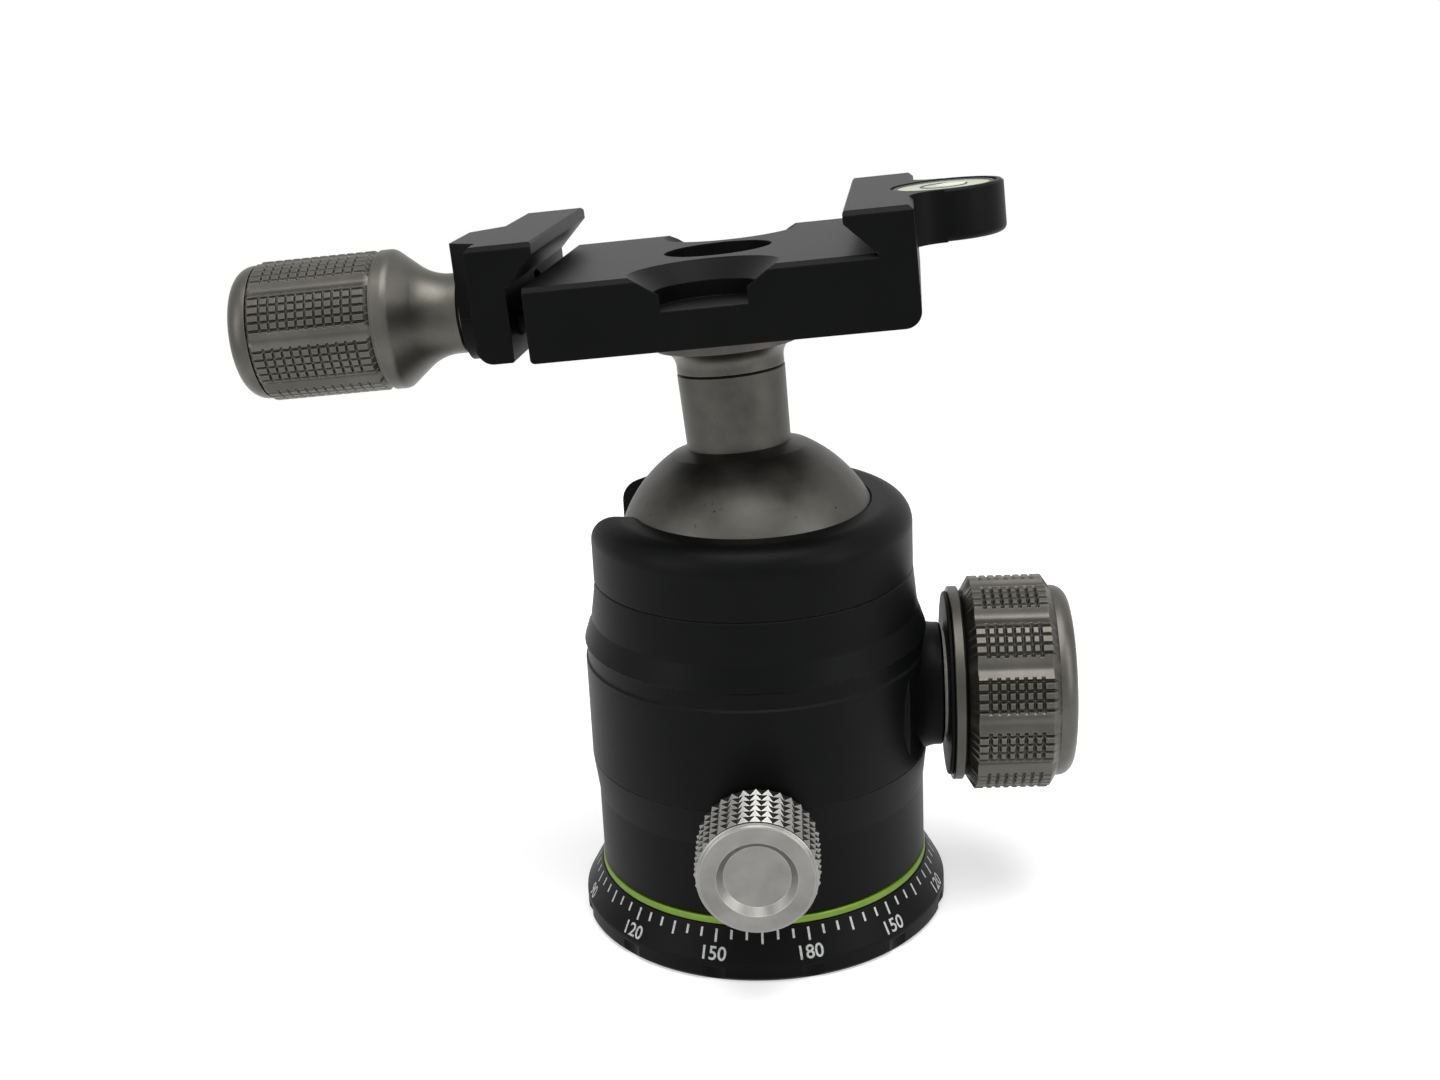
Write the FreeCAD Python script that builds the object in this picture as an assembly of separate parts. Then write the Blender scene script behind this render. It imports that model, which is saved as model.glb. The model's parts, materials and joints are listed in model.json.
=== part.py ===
import FreeCAD, Part
import math
import os

# Tripod ball head. Millimetres, +Z up, origin at the centre of the base's flat underside.
# The panning lock knob points to -Y, the main lock knob to +X and the stem notch to about -X.
# The head above the ball is modelled upright about the ball's centre and then leaned as it rests.

V = FreeCAD.Vector
X_AXIS = V(1, 0, 0)
Y_AXIS = V(0, 1, 0)
Z_AXIS = V(0, 0, 1)

# Clearances and fits
running_gap = 0.05
slip_gap = 0.15
ball_gap = 0.08
face_gap = 0.05
edge_chamfer = 0.5
fine_chamfer = 0.25
shortest_edge = 1e-6

# Ball and stem, heights measured up from the ball's centre
ball_radius = 15.85
ball_shoulder_radius = 8.0
stem_foot_radius = 6.0
stem_top_radius = 6.2
stem_foot_step = 0.667
stem_length = 8.85
stem_bore_depth = 9.0

# Base
hub_radius = 11.5
hub_rise = 4.9
socket_radius = 4.0
socket_mouth_chamfer = 0.25
flange_wall_height = 2.3
flange_rim_width = 0.4
flange_rim_rise = 0.7
flange_edge_round = 0.6
scale_step = 0.3
scale_spread = 1.7
scale_rise = 3.0
grip_notch_count = 12
grip_notch_radius = 3.0
grip_notch_depth = 0.35
accent_ring_step = 0.16
accent_ring_room = 1.5
accent_ring_thickness = 0.86

# Panning bearing inside the base
drum_step = 1.8
drum_height = 8.6
drum_bore = 5.2
neck_drop = 0.4
washer_thickness = 0.5
drum_screw_count = 3
drum_screw_circle = 8.3
drum_screw_start_angle = 30.0
drum_screw_radius = 1.5
drum_screw_head_radius = 2.75
drum_screw_head_height = 3.0
drum_screw_length = 12.0
hex_socket_share_of_head = 0.5

# Housing walls, from the ball outwards
cup_wall_room = 0.65
seat_ring_width = 1.15
collar_thread_width = 1.1
collar_wall = 1.75
shoulder_step = 0.45
belly_bulge = 0.95
foot_taper = 0.55

# Housing heights, each from the one below it
drum_head_room = 0.45
housing_floor_thickness = 2.3
cup_floor_room = 1.1
ball_floor_room = 4.9
collar_foot_drop = 0.45
collar_rise = 7.6
collar_thread_height = 3.2
lip_thickness = 2.15
lip_round = 2.9
joint_chamfer = 0.12
shoulder_length = 4.9
band_drop = 2.8
band_width = 2.3
band_depth = 0.22
lower_line_drop = 1.9
foot_taper_length = 4.6
line_groove_depth = 0.1
line_groove_width = 0.14
notch_half_width = 7.3
notch_bearing = 10.0

# Ball seats
liner_thickness = 1.3
liner_spread = 38.0
cup_spread = 68.0
cup_spring_height = 0.75
cup_spring_radius = 9.0
cup_spring_bore = 4.0
cup_spring_gauge = 0.3

# Main lock
main_axis_rise = 4.6
boss_radius = 7.3
boss_length = 1.75
boss_root_round = 3.6
boss_root_depth = 2.55
boss_inner_step = 0.5
bushing_radius = 4.5
bushing_length = 2.4
spindle_radius = 2.5
spindle_engagement = 3.2
plunger_length = 6.4
plunger_tip_rise = 2.2
plunger_travel_room = 1.1
wedge_angle = 20.0
pocket_side_room = 0.3
pocket_end_room = 0.6
main_knob_radius = 12.65
main_valley_depth = 0.65
main_valley_round = 4.5
main_valley_count = 12
main_bevel_run = 1.0
main_bevel_drop = 1.35
back_disc_drop = 1.75
back_disc_thickness = 0.5
thrust_washer_thickness = 0.4
thrust_washer_width = 3.7
trim_ring_drop = 1.15
trim_ring_thickness = 1.2
main_groove_drop = 2.45
main_groove_width = 0.35
main_grip_length = 10.4
main_cap_length = 2.1
main_cap_round = 1.8
main_cap_drop = 1.35
knob_core_radius = 4.2

# Panning lock
pan_axis_rise = 6.15
pan_screw_radius = 2.5
pan_shoe_radius = 2.65
pan_shoe_length = 3.6
pan_shoe_travel = 0.5
pan_knob_radius = 6.95
pan_knob_gap = 0.25
pan_knob_length = 8.9
pan_face_bevel = 0.6
pan_ring_inset = 1.9
pan_ring_width = 0.75
pan_ring_depth = 0.75
pan_screw_end_depth = 1.4

# Quick-release clamp
neck_height = 5.5
neck_top_radius = 8.25
neck_round = 2.05
neck_flange_thickness = 2.7
deck_thickness = 8.0
hook_height = 4.6
clamp_half_depth = 19.2
deck_left_reach = 18.95
groove_reach = 18.35
jaw_overhang = 3.3
jaw_wall = 3.95
jaw_corner_round = 1.8
deck_bore_radius = 6.1
deck_bore_depth = 5.6
pocket_inset = 2.9
pocket_top_radius = 8.1
pocket_low_radius = 5.45
pocket_cone_depth = 2.0
pocket_depth = 3.8
bolt_head_radius = 4.9
bolt_head_height = 4.2
bolt_shank_radius = 3.0
bolt_reach_down = 7.0
bolt_socket_radius = 2.3
bolt_socket_depth = 2.2
tab_step = 3.35
tab_radius = 6.6
tab_root_half_width = 10.5
tab_thickness = 5.7
tab_edge_round = 0.8
tab_wall = 0.7
vial_depth = 4.2
vial_wall = 0.45
vial_lens_thickness = 0.9
vial_floor = 0.5

# Moving jaw
jaw_gap = 2.0
jaw_inset = 1.6
jaw_foot_step = 0.1
jaw_boss_length = 4.3
jaw_boss_half_width = 5.4
jaw_boss_root_half_width = 9.6
jaw_slide_in = 1.8
screw_step = 3.6
screw_radius = 2.5
screw_engagement = 9.95
pin_radius = 1.5
pin_spacing = 23.0
pin_engagement = 9.95
pin_end_wall = 0.5
clip_radius = 4.0
clip_thickness = 0.6
clip_pocket_depth = 1.4
clamp_washer_width = 1.8
clamp_washer_thickness = 0.3

# Clamp knob
neck_radius = 4.6
neck_length = 3.4
flare_length = 4.2
flare_round = 6.0
flare_crest_round = 1.2
flange_ring_length = 1.4
clamp_groove_depth = 0.5
clamp_groove_length = 0.5
clamp_knob_radius = 8.0
clamp_grip_length = 14.3
clamp_valley_depth = 0.5
clamp_valley_round = 3.2
clamp_valley_count = 8
clamp_bevel = 0.5
clamp_cap_length = 2.6
clamp_cap_round = 2.2
clamp_cap_drop = 0.3
clamp_core_radius = 4.0

# How the head rests: leaned back, leaned to the left and turned on its stem, in degrees
rest_lean_back = -4.0
rest_lean_left = -3.9
rest_turn = -3.3

# Widths worked out from the ball outwards
cup_bore_radius = ball_radius + cup_wall_room
cup_radius = cup_bore_radius - slip_gap
seat_ring_bore_radius = ball_radius + seat_ring_width
collar_thread_radius = cup_bore_radius + collar_thread_width
collar_radius = seat_ring_bore_radius + collar_wall
housing_shoulder_radius = collar_radius + shoulder_step
housing_belly_radius = housing_shoulder_radius + belly_bulge
housing_foot_radius = housing_belly_radius - foot_taper
scale_top_radius = housing_foot_radius + scale_step
scale_foot_radius = scale_top_radius + scale_spread
flange_radius = scale_foot_radius + flange_rim_width
accent_ring_radius = housing_foot_radius + accent_ring_step
accent_ring_bore = hub_radius + accent_ring_room
drum_radius = hub_radius + drum_step
liner_inner = ball_radius + ball_gap
liner_outer = liner_inner + liner_thickness
cup_inner = liner_outer + ball_gap

# Heights worked out from the underside upwards
scale_foot_height = flange_wall_height + flange_rim_rise
base_top_height = scale_foot_height + scale_rise
hub_height = base_top_height + hub_rise
housing_foot_height = base_top_height + accent_ring_thickness + face_gap
neck_bore_height = hub_height - neck_drop
washer_top = neck_bore_height + washer_thickness
drum_foot = washer_top + face_gap
drum_top = drum_foot + drum_height
drum_ceiling_height = drum_top + drum_head_room
cup_floor_height = drum_ceiling_height + housing_floor_thickness
cup_bottom_height = cup_floor_height + cup_floor_room
main_axis_height = cup_floor_height + main_axis_rise
plunger_tip_height = main_axis_height + plunger_tip_rise
pan_axis_height = drum_foot + pan_axis_rise
ball_height = cup_floor_height + ball_radius + ball_floor_room
collar_foot_height = ball_height - collar_foot_drop
collar_thread_top = collar_foot_height + collar_thread_height
collar_top_height = ball_height + collar_rise
seat_ring_top = collar_top_height - lip_thickness
shoulder_height = collar_foot_height - shoulder_length
band_top_height = shoulder_height - band_drop
band_bottom_height = band_top_height - band_width
lower_line_height = cup_floor_height - lower_line_drop
housing_foot_top = lower_line_height - foot_taper_length

# Heights above the ball's centre
ball_shoulder_rise = math.sqrt(ball_radius ** 2 - ball_shoulder_radius ** 2)
stem_foot_rise = ball_shoulder_rise + stem_foot_step
stem_top_rise = stem_foot_rise + stem_length
stem_bore_floor = stem_top_rise - stem_bore_depth
clamp_floor_rise = stem_top_rise + neck_height
clamp_deck_rise = clamp_floor_rise + deck_thickness
clamp_jaw_rise = clamp_deck_rise + hook_height
deck_bore_floor = clamp_deck_rise - deck_bore_depth
screw_rise = clamp_floor_rise + screw_step
jaw_foot_rise = clamp_floor_rise + jaw_foot_step
tab_floor_rise = clamp_jaw_rise - tab_thickness

# Reaches from the axes
boss_reach = housing_belly_radius + boss_length
boss_root_reach = housing_belly_radius - boss_root_depth
boss_inner_reach = cup_bore_radius + boss_inner_step
bushing_inner_reach = boss_reach - bushing_length
plunger_radius = bushing_radius - 2 * running_gap
plunger_tail_reach = bushing_inner_reach - plunger_travel_room
plunger_tip_reach = plunger_tail_reach - plunger_length
spindle_tip_reach = plunger_tail_reach - spindle_engagement
pocket_half_width = plunger_radius + pocket_side_room
pocket_wall_reach = plunger_tip_reach - pocket_end_room
back_disc_start = boss_reach + thrust_washer_thickness + face_gap
trim_ring_start = back_disc_start + back_disc_thickness
main_grip_start = trim_ring_start + trim_ring_thickness + main_groove_width
main_cap_start = main_grip_start + main_grip_length
main_end = main_cap_start + main_cap_length
pan_shoe_tip = drum_radius + running_gap
pan_shoe_tail = pan_shoe_tip + pan_shoe_length
pan_knob_start = housing_belly_radius + pan_knob_gap
pan_face_radius = pan_knob_radius - pan_face_bevel
pan_ring_outer = pan_face_radius - pan_ring_inset
pan_ring_inner = pan_ring_outer - pan_ring_width
moving_groove_reach = deck_left_reach + jaw_gap
jaw_outer_reach = moving_groove_reach + jaw_wall
jaw_boss_reach = jaw_outer_reach + jaw_boss_length
jaw_half_depth = clamp_half_depth - jaw_inset
fixed_jaw_reach = groove_reach + jaw_wall
tab_centre_reach = fixed_jaw_reach + tab_step
vial_radius = tab_radius - tab_wall
pocket_centre_depth = clamp_half_depth - pocket_inset
screw_tip_reach = deck_left_reach - screw_engagement
pin_tip_reach = deck_left_reach - pin_engagement
pin_tail_reach = jaw_outer_reach - pin_end_wall
knob_neck_start = jaw_boss_reach + clamp_washer_thickness + face_gap
flange_ring_start = knob_neck_start + neck_length + flare_length
clamp_groove_start = flange_ring_start + flange_ring_length
clamp_grip_start = clamp_groove_start + clamp_groove_length
clamp_cap_start = clamp_grip_start + clamp_grip_length
clamp_end = clamp_cap_start + clamp_cap_length


def rounded_outline(points):
    """Closed outline of straight runs in the XZ plane; a third value rounds that corner."""
    count = len(points)
    corners = []
    for i, point in enumerate(points):
        here = V(point[0], 0, point[1])
        radius = point[2] if len(point) > 2 else 0
        if not radius:
            corners.append((here, None, here))
            continue
        before = points[i - 1]
        after = points[(i + 1) % count]
        to_before = V(before[0], 0, before[1]).sub(here).normalize()
        to_after = V(after[0], 0, after[1]).sub(here).normalize()
        half_angle = to_before.getAngle(to_after) / 2
        reach = radius / math.tan(half_angle)
        start = here + to_before * reach
        end = here + to_after * reach
        centre = here + (to_before + to_after).normalize() * (radius / math.sin(half_angle))
        middle = centre + (here - centre).normalize() * radius
        corners.append((start, middle, end))
    edges = []
    for i, (start, middle, end) in enumerate(corners):
        if middle is not None:
            edges.append(Part.Arc(start, middle, end).toShape())
        following = corners[(i + 1) % count][0]
        if end.distanceToPoint(following) > shortest_edge:
            edges.append(Part.makeLine(end, following))
    return Part.Wire(edges)


def turned(points):
    """Solid turned about the Z axis from (radius, height, rounding) corners."""
    solid = Part.Face(rounded_outline(points)).revolve(V(0, 0, 0), Z_AXIS, 360)
    return solid if solid.Volume > 0 else solid.reversed()


def ring(outer, inner, foot, top, chamfer=0.0):
    """Flat ring or tube about the Z axis, its outer rims broken where a chamfer is given."""
    points = [(inner, foot), (outer - chamfer, foot)]
    if chamfer:
        points.append((outer, foot + chamfer))
        points.append((outer, top - chamfer))
    else:
        points.append((outer, foot))
    points += [(outer - chamfer, top), (inner, top)]
    return turned([p for i, p in enumerate(points) if i == 0 or p != points[i - 1]])


def disc(radius, foot, top, chamfer=0.0):
    """Solid disc or rod about the Z axis."""
    return ring(radius, 0, foot, top, chamfer)


def extruded(points, depth):
    """Prism with an XZ outline, running from -depth to +depth along Y."""
    face = Part.Face(rounded_outline(points))
    face.translate(V(0, -depth, 0))
    return face.extrude(V(0, 2 * depth, 0))


def box(low, high):
    return Part.makeBox(high[0] - low[0], high[1] - low[1], high[2] - low[2], V(*low))


def toward_x(shape, height=0.0):
    """Carries a shape turned about Z onto the line that points to +X at a height."""
    shape.rotate(V(0, 0, 0), Y_AXIS, 90)
    shape.translate(V(0, 0, height))
    return shape


def toward_minus_x(shape, height=0.0):
    """Carries a shape turned about Z onto the line that points to -X at a height."""
    shape.rotate(V(0, 0, 0), Y_AXIS, -90)
    shape.translate(V(0, 0, height))
    return shape


def toward_front(shape, height=0.0):
    """Carries a shape turned about Z onto the line that points to -Y at a height."""
    shape.rotate(V(0, 0, 0), X_AXIS, 90)
    shape.translate(V(0, 0, height))
    return shape


def leaned(shape):
    """Sets a shape of the head at its place above the base and at its lean."""
    shape.rotate(V(0, 0, 0), Z_AXIS, rest_turn)
    shape.rotate(V(0, 0, 0), Y_AXIS, rest_lean_left)
    shape.rotate(V(0, 0, 0), X_AXIS, rest_lean_back)
    shape.translate(V(0, 0, ball_height))
    return shape


def ball_cut(radius):
    return Part.makeSphere(radius, V(0, 0, ball_height))


def around(shape, count, start=0.0):
    """Copies of a shape, evenly spaced about the Z axis."""
    copies = []
    for i in range(count):
        copy = shape.copy()
        copy.rotate(V(0, 0, 0), Z_AXIS, start + 360.0 * i / count)
        copies.append(copy)
    return copies


def hex_socket(across_radius, foot, top):
    """Six-sided recess about the Z axis, given its corner radius."""
    corners = []
    for i in range(7):
        angle = math.radians(60 * i)
        corners.append(V(across_radius * math.cos(angle), across_radius * math.sin(angle), foot))
    return Part.Face(Part.makePolygon(corners)).extrude(V(0, 0, top - foot))


def stem_notch():
    """U-shaped cutter for the slot that the stem drops into, round at the ball's height."""
    length = housing_belly_radius + edge_chamfer
    slot = Part.makeCylinder(notch_half_width, length, V(0, 0, ball_height), X_AXIS)
    upper = box((0, -notch_half_width, ball_height),
                (length, notch_half_width, collar_top_height + edge_chamfer))
    cutter = slot.fuse(upper)
    cutter.rotate(V(0, 0, 0), Z_AXIS, 180 - notch_bearing)
    return cutter


def lobed_grip(radius, start, length, core, bevel, valley_depth, valley_round, valley_count):
    """Bevelled tube with shallow round valleys along it, which leave lobes between them."""
    run, drop = bevel
    end = start + length
    grip = turned([
        (core, start),
        (radius - drop, start),
        (radius, start + run),
        (radius, end - run),
        (radius - drop, end),
        (core, end),
    ])
    centre_reach = radius - valley_depth + valley_round
    valley = Part.makeCylinder(valley_round, length + 2 * edge_chamfer,
                               V(centre_reach, 0, start - edge_chamfer))
    return grip.cut(Part.makeCompound(around(valley, valley_count)))


# Base

def base_flange():
    body = turned([
        (socket_radius + socket_mouth_chamfer, 0),
        (flange_radius - edge_chamfer, 0),
        (flange_radius, edge_chamfer),
        (flange_radius, flange_wall_height, flange_edge_round),
        (scale_foot_radius, scale_foot_height),
        (scale_top_radius, base_top_height),
        (hub_radius, base_top_height),
        (hub_radius, hub_height),
        (socket_radius, hub_height),
        (socket_radius, socket_mouth_chamfer),
    ])
    notch = Part.makeCylinder(grip_notch_radius, flange_wall_height - edge_chamfer,
                              V(flange_radius - grip_notch_depth + grip_notch_radius, 0, 0))
    body = body.cut(Part.makeCompound(around(notch, grip_notch_count, 180.0 / grip_notch_count)))
    hole = Part.makeCylinder(drum_screw_radius, hub_height,
                             V(drum_screw_circle, 0, drum_screw_tip_height()))
    return body.cut(Part.makeCompound(around(hole, drum_screw_count, drum_screw_start_angle)))


def drum_screw_seat_height():
    return drum_top - drum_screw_head_height - face_gap


def drum_screw_tip_height():
    return drum_screw_seat_height() - drum_screw_length


def accent_ring():
    return ring(accent_ring_radius, accent_ring_bore, base_top_height,
                base_top_height + accent_ring_thickness, joint_chamfer)


def pan_drum():
    drum = turned([
        (drum_bore, hub_height),
        (hub_radius, hub_height),
        (hub_radius, drum_foot),
        (drum_radius, drum_foot),
        (drum_radius, drum_top - edge_chamfer),
        (drum_radius - edge_chamfer, drum_top),
        (drum_bore, drum_top),
    ])
    shank = Part.makeCylinder(drum_screw_radius, drum_top, V(drum_screw_circle, 0, 0))
    head = Part.makeCylinder(drum_screw_head_radius + running_gap, drum_screw_head_height + edge_chamfer,
                             V(drum_screw_circle, 0, drum_screw_seat_height()))
    drum = drum.cut(Part.makeCompound(around(shank, drum_screw_count, drum_screw_start_angle)))
    return drum.cut(Part.makeCompound(around(head, drum_screw_count, drum_screw_start_angle)))


def drum_screws():
    seat = drum_screw_seat_height()
    screw = disc(drum_screw_radius, seat - drum_screw_length, seat)
    head = disc(drum_screw_head_radius, seat, seat + drum_screw_head_height, fine_chamfer)
    recess = hex_socket(drum_screw_head_radius * hex_socket_share_of_head,
                        seat + drum_screw_head_height * hex_socket_share_of_head,
                        seat + drum_screw_head_height)
    screw = screw.fuse(head).removeSplitter().cut(recess)
    screw.translate(V(drum_screw_circle, 0, 0))
    return Part.makeCompound(around(screw, drum_screw_count, drum_screw_start_angle))


def pan_washer():
    return ring(drum_radius, hub_radius + slip_gap, neck_bore_height, washer_top)


# Housing

def line_groove(radius, height):
    """V-shaped cutter for one engraved line."""
    return turned([
        (radius - line_groove_depth, height),
        (radius + line_groove_depth, height - line_groove_width),
        (radius + line_groove_depth, height + line_groove_width),
    ])


def boss():
    """Round boss for the main lock, its root flared into the housing wall."""
    return toward_x(turned([
        (0, boss_inner_reach),
        (boss_radius + boss_root_round, boss_inner_reach),
        (boss_radius + boss_root_round, boss_root_reach),
        (boss_radius, boss_root_reach, boss_root_round),
        (boss_radius, boss_reach - fine_chamfer),
        (boss_radius - fine_chamfer, boss_reach),
        (0, boss_reach),
    ]), main_axis_height)


def housing_body():
    shell = turned([
        (hub_radius + slip_gap, housing_foot_height),
        (housing_foot_radius - fine_chamfer, housing_foot_height),
        (housing_foot_radius, housing_foot_height + fine_chamfer),
        (housing_foot_radius, housing_foot_top),
        (housing_belly_radius, lower_line_height),
        (housing_belly_radius, band_bottom_height),
        (housing_belly_radius - band_depth, band_bottom_height + band_depth),
        (housing_belly_radius - band_depth, band_top_height - band_depth),
        (housing_belly_radius, band_top_height),
        (housing_shoulder_radius, shoulder_height),
        (collar_radius, collar_foot_height - joint_chamfer),
        (collar_radius - joint_chamfer, collar_foot_height),
        (cup_bore_radius, collar_foot_height),
        (cup_bore_radius, cup_floor_height),
        (0, cup_floor_height),
        (0, drum_ceiling_height),
        (drum_radius + slip_gap, drum_ceiling_height),
        (drum_radius + slip_gap, neck_bore_height),
        (hub_radius + slip_gap, neck_bore_height),
    ])
    body = shell.fuse(boss())
    body = body.cut(line_groove(housing_belly_radius, lower_line_height))
    spigot = ring(collar_thread_radius, cup_bore_radius, collar_foot_height,
                  collar_thread_top, fine_chamfer)
    body = body.fuse(spigot).removeSplitter()
    body = body.cut(stem_notch())
    body = body.cut(toward_x(disc(bushing_radius, 0, boss_reach), main_axis_height)
                    .cut(disc(cup_bore_radius - edge_chamfer, 0, collar_foot_height)))
    shoe_bore_end = pan_shoe_tail + pan_shoe_travel + face_gap
    shoe_bore = toward_front(disc(pan_shoe_radius + running_gap, 0, shoe_bore_end), pan_axis_height)
    screw_bore = toward_front(disc(pan_screw_radius + running_gap, 0, pan_knob_start), pan_axis_height)
    return body.cut(shoe_bore).cut(screw_bore)


def upper_collar():
    collar = turned([
        (collar_thread_radius + running_gap, collar_foot_height),
        (collar_radius - joint_chamfer, collar_foot_height),
        (collar_radius, collar_foot_height + joint_chamfer),
        (collar_radius, collar_top_height, lip_round),
        (0, collar_top_height),
        (0, seat_ring_top),
        (seat_ring_bore_radius, seat_ring_top),
        (seat_ring_bore_radius, collar_thread_top + running_gap),
        (collar_thread_radius + running_gap, collar_thread_top + running_gap),
    ])
    return collar.cut(ball_cut(ball_radius + slip_gap)).cut(stem_notch())


def upper_seat_ring():
    foot = collar_thread_top + running_gap
    seat = disc(seat_ring_bore_radius - running_gap, foot, seat_ring_top)
    return seat.cut(ball_cut(liner_inner)).cut(stem_notch())


def spindle_bushing():
    return toward_x(ring(bushing_radius, spindle_radius + running_gap, bushing_inner_reach, boss_reach),
                    main_axis_height)


# Ball seat that the main lock lifts

def spherical_shell(outer, inner, spread):
    """Part of a hollow ball about the ball's centre, below a cone of the given half angle."""
    shell = Part.makeSphere(outer).cut(Part.makeSphere(inner))
    reach = 2 * outer
    half = math.radians(spread)
    cone = turned([(0, 0), (reach * math.sin(half), -reach * math.cos(half)), (0, -reach * math.cos(half))])
    shell = shell.common(cone)
    shell.translate(V(0, 0, ball_height))
    return shell


def seat_liner():
    return spherical_shell(liner_outer, liner_inner, liner_spread)


def wedge_profile(lift):
    """Outline, in the XZ plane, of all that lies below the wedge's sloping face."""
    slope = math.tan(math.radians(wedge_angle))
    far = boss_reach
    low = cup_floor_height - edge_chamfer
    return [
        (0, low),
        (far, low),
        (far, plunger_tip_height + lift + (far - plunger_tip_reach) * slope),
        (0, plunger_tip_height + lift - plunger_tip_reach * slope),
    ]


def lower_cup():
    top = ball_height - cup_inner * math.cos(math.radians(cup_spread))
    cup = disc(cup_radius, cup_bottom_height, top, fine_chamfer).cut(ball_cut(cup_inner))
    pocket = extruded(wedge_profile(face_gap), pocket_half_width)
    pocket = pocket.common(box((pocket_wall_reach, -pocket_half_width, 0),
                               (boss_reach, pocket_half_width, ball_height)))
    return cup.cut(pocket)


def cup_spring():
    foot = cup_bottom_height - cup_spring_height
    return turned([
        (cup_spring_bore, cup_bottom_height - cup_spring_gauge),
        (cup_spring_radius, foot),
        (cup_spring_radius, foot + cup_spring_gauge),
        (cup_spring_bore, cup_bottom_height),
    ])


# Main lock

def wedge_plunger():
    rod = disc(plunger_radius, plunger_tip_reach, plunger_tail_reach, fine_chamfer)
    rod = toward_x(rod, main_axis_height)
    rod = rod.common(extruded(wedge_profile(0), plunger_radius + edge_chamfer))
    bore = toward_x(disc(spindle_radius + running_gap, spindle_tip_reach - face_gap,
                         plunger_tail_reach + edge_chamfer), main_axis_height)
    return rod.cut(bore)


def main_spindle():
    return toward_x(disc(spindle_radius, spindle_tip_reach, main_cap_start, fine_chamfer), main_axis_height)


def thrust_washer():
    return toward_x(ring(spindle_radius + thrust_washer_width, spindle_radius + running_gap, boss_reach,
                         boss_reach + thrust_washer_thickness), main_axis_height)


def main_knob_disc():
    disc_radius = main_knob_radius - back_disc_drop
    return toward_x(ring(disc_radius, spindle_radius, back_disc_start, trim_ring_start, joint_chamfer),
                    main_axis_height)


def main_knob_trim():
    ring_part = ring(main_knob_radius - trim_ring_drop, knob_core_radius, trim_ring_start,
                     trim_ring_start + trim_ring_thickness, joint_chamfer)
    return toward_x(ring_part, main_axis_height)


def main_knob_core():
    groove_radius = main_knob_radius - main_groove_drop
    core = turned([
        (spindle_radius, trim_ring_start),
        (knob_core_radius, trim_ring_start),
        (knob_core_radius, trim_ring_start + trim_ring_thickness),
        (groove_radius, trim_ring_start + trim_ring_thickness),
        (groove_radius, main_grip_start),
        (knob_core_radius, main_grip_start),
        (knob_core_radius, main_cap_start),
        (spindle_radius, main_cap_start),
    ])
    return toward_x(core, main_axis_height)


def main_knob_grip():
    grip = lobed_grip(main_knob_radius, main_grip_start, main_grip_length, knob_core_radius,
                      (main_bevel_run, main_bevel_drop), main_valley_depth, main_valley_round,
                      main_valley_count)
    return toward_x(grip, main_axis_height)


def main_knob_cap():
    cap_radius = main_knob_radius - main_cap_drop
    return toward_x(turned([
        (0, main_cap_start),
        (cap_radius, main_cap_start),
        (cap_radius, main_end, main_cap_round),
        (0, main_end),
    ]), main_axis_height)


# Panning lock

def pan_brake_shoe():
    shoe = toward_front(disc(pan_shoe_radius, drum_radius - edge_chamfer, pan_shoe_tail), pan_axis_height)
    return shoe.cut(disc(pan_shoe_tip, 0, ball_height))


def pan_lock_screw():
    end = pan_knob_start + pan_knob_length - pan_screw_end_depth
    screw = disc(pan_screw_radius, pan_shoe_tail + face_gap, end, fine_chamfer)
    return toward_front(screw, pan_axis_height)


def pan_lock_knob():
    end = pan_knob_start + pan_knob_length
    knob = turned([
        (pan_screw_radius, pan_knob_start),
        (pan_knob_radius - edge_chamfer, pan_knob_start),
        (pan_knob_radius, pan_knob_start + edge_chamfer),
        (pan_knob_radius, end - pan_face_bevel),
        (pan_face_radius, end),
        (pan_ring_outer, end),
        (pan_ring_inner, end - pan_ring_depth),
        (0, end - pan_ring_depth),
        (0, end - pan_screw_end_depth),
        (pan_screw_radius, end - pan_screw_end_depth),
    ])
    return toward_front(knob, pan_axis_height)


# Ball and stem

def ball_stem():
    ball = Part.makeSphere(ball_radius)
    trim = ring(ball_radius, 0, ball_shoulder_rise, ball_radius + edge_chamfer)
    stem = turned([
        (0, 0),
        (ball_shoulder_radius, 0),
        (ball_shoulder_radius, ball_shoulder_rise),
        (stem_foot_radius, stem_foot_rise),
        (stem_top_radius, stem_top_rise - fine_chamfer),
        (stem_top_radius - fine_chamfer, stem_top_rise),
        (0, stem_top_rise),
    ])
    solid = ball.cut(trim).fuse(stem).removeSplitter()
    bore = disc(bolt_shank_radius + running_gap, stem_bore_floor, stem_top_rise + edge_chamfer)
    return leaned(solid.cut(bore))


# Quick-release clamp

def deck_outline():
    """Side view of the deck and the fixed jaw, looking along the plate's direction."""
    lip_reach = groove_reach - jaw_overhang
    return [
        (-deck_left_reach, clamp_floor_rise, edge_chamfer),
        (fixed_jaw_reach, clamp_floor_rise, jaw_corner_round),
        (fixed_jaw_reach, clamp_jaw_rise - edge_chamfer),
        (fixed_jaw_reach - edge_chamfer, clamp_jaw_rise),
        (lip_reach + fine_chamfer, clamp_jaw_rise),
        (lip_reach, clamp_jaw_rise - fine_chamfer),
        (lip_reach, clamp_deck_rise + jaw_overhang),
        (groove_reach, clamp_deck_rise),
        (-deck_left_reach, clamp_deck_rise),
    ]


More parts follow.
